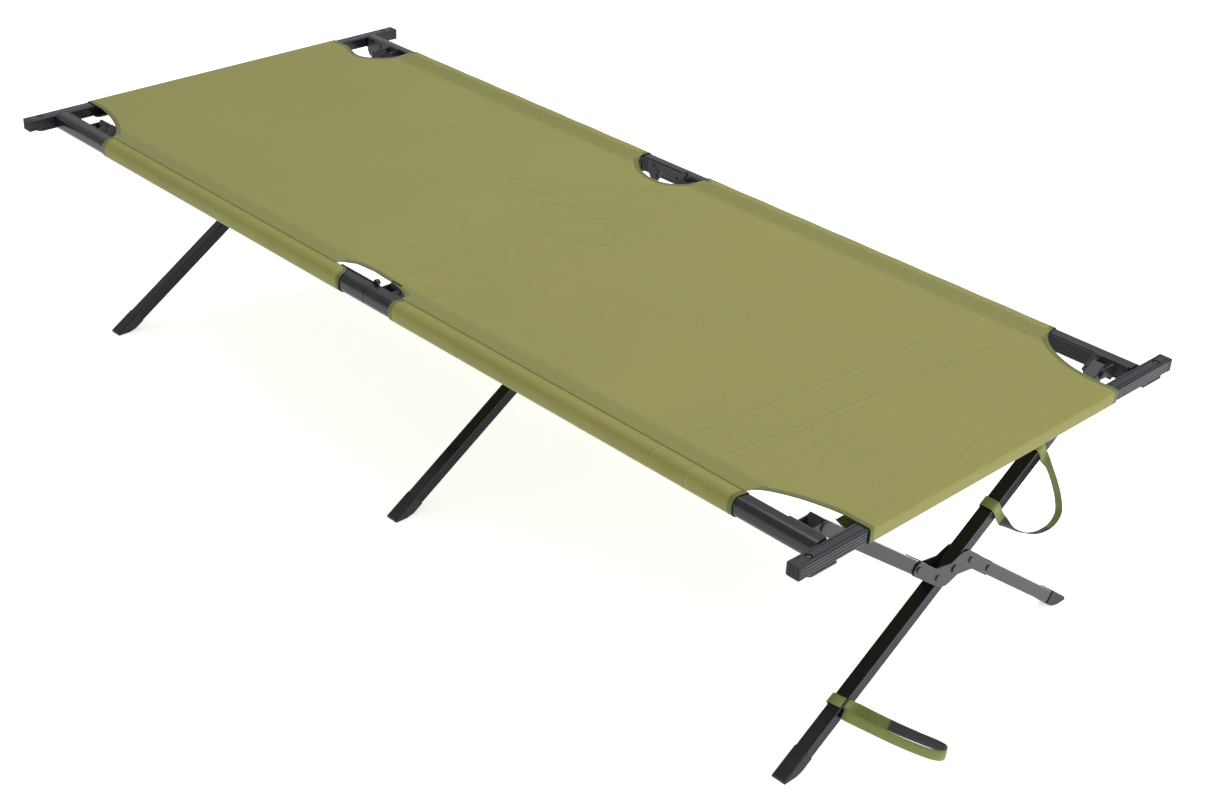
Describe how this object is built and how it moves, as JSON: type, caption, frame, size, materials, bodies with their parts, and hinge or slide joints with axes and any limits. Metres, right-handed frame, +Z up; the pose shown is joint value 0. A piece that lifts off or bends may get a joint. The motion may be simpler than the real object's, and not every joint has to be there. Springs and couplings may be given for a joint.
{
  "type": "folding camp cot",
  "caption": "Folding camp cot with a fabric deck on two jointed side rails, crossed leg sets, lift-off end bars and a carry strap.",
  "frame": {"origin": "on the floor, under the middle of the whole model's box. The side rails' joint is 53 mm from it towards -X, because a strap loop reaches past the frame at +X.", "axes": "+X along the bed towards the strap end, +Y across the bed, +Z up"},
  "size_m": [2.0064, 0.8576, 0.4425],
  "materials": {
    "paint_black": "semi-gloss",
    "paint_bar": "semi-gloss",
    "paint_grey": "satin",
    "steel_dark": "satin",
    "plastic_black": "matte",
    "fabric_olive": "matte woven",
    "webbing": "matte woven"
  },
  "bodies": {
    "back_rail_right_body": {"rail_back_right": "paint_black", "end_bracket_back_right": "steel_dark", "right_head_plate_back": "steel_dark", "middle_head_plate_back": "steel_dark", "sleeve_back_right": "fabric_olive", "deck_right": "fabric_olive"},
    "back_rail_left_body": {"rail_back_left": "paint_black", "end_bracket_back_left": "steel_dark", "hinge_plate_back_left": "steel_dark", "left_head_plate_back": "steel_dark", "sleeve_back_left": "fabric_olive", "deck_left": "fabric_olive"},
    "right_clevis_back_body": {"right_clevis_back": "steel_dark"},
    "right_straight_leg_body": {"right_straight_leg": "paint_black", "right_straight_foot": "plastic_black", "strap_lower": "webbing", "strap_upper": "webbing"},
    "right_half_legs_body": {"right_upper_half_leg": "paint_black", "right_lower_half_leg": "paint_black", "right_half_leg_foot": "plastic_black", "right_cross_plates": "paint_grey", "right_cross_rivets": "steel_dark"},
    "right_clevis_front_body": {"right_clevis_front": "steel_dark"},
    "middle_clevis_back_body": {"middle_clevis_back": "steel_dark"},
    "middle_straight_leg_body": {"middle_straight_leg": "paint_black", "middle_straight_foot": "plastic_black"},
    "middle_half_legs_body": {"middle_upper_half_leg": "paint_black", "middle_lower_half_leg": "paint_black", "middle_half_leg_foot": "plastic_black", "middle_cross_plates": "paint_grey", "middle_cross_rivets": "steel_dark"},
    "middle_clevis_front_body": {"middle_clevis_front": "steel_dark"},
    "left_clevis_back_body": {"left_clevis_back": "steel_dark"},
    "left_straight_leg_body": {"left_straight_leg": "paint_black", "left_straight_foot": "plastic_black"},
    "left_half_legs_body": {"left_upper_half_leg": "paint_black", "left_lower_half_leg": "paint_black", "left_half_leg_foot": "plastic_black", "left_cross_plates": "paint_grey", "left_cross_rivets": "steel_dark"},
    "left_clevis_front_body": {"left_clevis_front": "steel_dark"},
    "front_rail_right_body": {"rail_front_right": "paint_black", "end_bracket_front_right": "steel_dark", "right_head_plate_front": "steel_dark", "middle_head_plate_front": "steel_dark", "sleeve_front_right": "fabric_olive"},
    "front_rail_left_body": {"rail_front_left": "paint_black", "end_bracket_front_left": "steel_dark", "hinge_plate_front_left": "steel_dark", "left_head_plate_front": "steel_dark", "sleeve_front_left": "fabric_olive"},
    "end_bar_right_body": {"end_bar_right": "paint_bar", "end_plugs_right": "plastic_black"},
    "end_bar_left_body": {"end_bar_left": "paint_bar", "end_plugs_left": "plastic_black"}
  },
  "joints": [
    {"name": "half_fold", "type": "hinge", "parent": "back_rail_right_body", "child": "back_rail_left_body", "pos_m": [-0.05232, 0.351, 0.4375], "axis": [0, 1, 0], "range_deg": [0, 180]},
    {"name": "swing_right", "type": "hinge", "parent": "back_rail_right_body", "child": "right_clevis_back_body", "pos_m": [0.83368, 0.351, 0.413], "axis": [0, 1, 0], "range_deg": [0, 90]},
    {"name": "width_fold", "type": "hinge", "parent": "right_clevis_back_body", "child": "right_straight_leg_body", "pos_m": [0.83368, 0.323, 0.423], "axis": [1, 0, 0], "range_deg": [0, 55], "deforming": ["deck_right", "deck_left", "strap_lower", "strap_upper"]},
    {"name": "right_crossing", "type": "hinge", "parent": "right_straight_leg_body", "child": "right_half_legs_body", "pos_m": [0.83368, 0, 0.21299], "axis": [1, 0, 0], "range_deg": [-110, 0]},
    {"name": "right_front_head", "type": "hinge", "parent": "right_half_legs_body", "child": "right_clevis_front_body", "pos_m": [0.83368, -0.323, 0.423], "axis": [1, 0, 0], "range_deg": [0, 55]},
    {"name": "swing_middle", "type": "hinge", "parent": "back_rail_right_body", "child": "middle_clevis_back_body", "pos_m": [0.00368, 0.351, 0.413], "axis": [0, -1, 0], "range_deg": [0, 90]},
    {"name": "middle_straight_fold", "type": "hinge", "parent": "middle_clevis_back_body", "child": "middle_straight_leg_body", "pos_m": [-0.03232, 0.323, 0.423], "axis": [1, 0, 0], "range_deg": [0, 55]},
    {"name": "middle_crossing", "type": "hinge", "parent": "middle_straight_leg_body", "child": "middle_half_legs_body", "pos_m": [-0.03232, 0, 0.21299], "axis": [1, 0, 0], "range_deg": [-110, 0]},
    {"name": "middle_front_head", "type": "hinge", "parent": "middle_half_legs_body", "child": "middle_clevis_front_body", "pos_m": [-0.03232, -0.323, 0.423], "axis": [1, 0, 0], "range_deg": [0, 55]},
    {"name": "swing_left", "type": "hinge", "parent": "back_rail_left_body", "child": "left_clevis_back_body", "pos_m": [-0.89332, 0.351, 0.413], "axis": [0, -1, 0], "range_deg": [0, 90]},
    {"name": "left_straight_fold", "type": "hinge", "parent": "left_clevis_back_body", "child": "left_straight_leg_body", "pos_m": [-0.89332, 0.323, 0.423], "axis": [1, 0, 0], "range_deg": [0, 55]},
    {"name": "left_crossing", "type": "hinge", "parent": "left_straight_leg_body", "child": "left_half_legs_body", "pos_m": [-0.89332, 0, 0.21299], "axis": [1, 0, 0], "range_deg": [-110, 0]},
    {"name": "left_front_head", "type": "hinge", "parent": "left_half_legs_body", "child": "left_clevis_front_body", "pos_m": [-0.89332, -0.323, 0.423], "axis": [1, 0, 0], "range_deg": [0, 55]},
    {"name": "front_rail_level", "type": "hinge", "parent": "right_clevis_front_body", "child": "front_rail_right_body", "pos_m": [0.83368, -0.351, 0.413], "axis": [0, 1, 0], "range_deg": [-90, 0]},
    {"name": "front_half_fold", "type": "hinge", "parent": "front_rail_right_body", "child": "front_rail_left_body", "pos_m": [-0.05232, -0.351, 0.4375], "axis": [0, 1, 0], "range_deg": [0, 180]},
    {"name": "bar_right_lift", "type": "slide", "parent": "back_rail_right_body", "child": "end_bar_right_body", "axis": [0, 0, 1], "range_m": [0, 0.116]},
    {"name": "bar_left_lift", "type": "slide", "parent": "back_rail_left_body", "child": "end_bar_left_body", "axis": [0, 0, 1], "range_m": [0, 0.116]}
  ],
  "couplings": [
    {"joint": "right_crossing", "follows": "width_fold", "ratio": -2},
    {"joint": "right_front_head", "follows": "width_fold", "ratio": 1},
    {"joint": "middle_straight_fold", "follows": "width_fold", "ratio": 1},
    {"joint": "middle_crossing", "follows": "width_fold", "ratio": -2},
    {"joint": "middle_front_head", "follows": "width_fold", "ratio": 1},
    {"joint": "left_straight_fold", "follows": "width_fold", "ratio": 1},
    {"joint": "left_crossing", "follows": "width_fold", "ratio": -2},
    {"joint": "left_front_head", "follows": "width_fold", "ratio": 1},
    {"joint": "front_rail_level", "follows": "swing_right", "ratio": -1},
    {"joint": "front_half_fold", "follows": "half_fold", "ratio": 1},
    {"joint": "bar_right_lift", "follows": "width_fold", "m_per_rad": 0.12},
    {"joint": "bar_left_lift", "follows": "width_fold", "m_per_rad": 0.12}
  ]
}
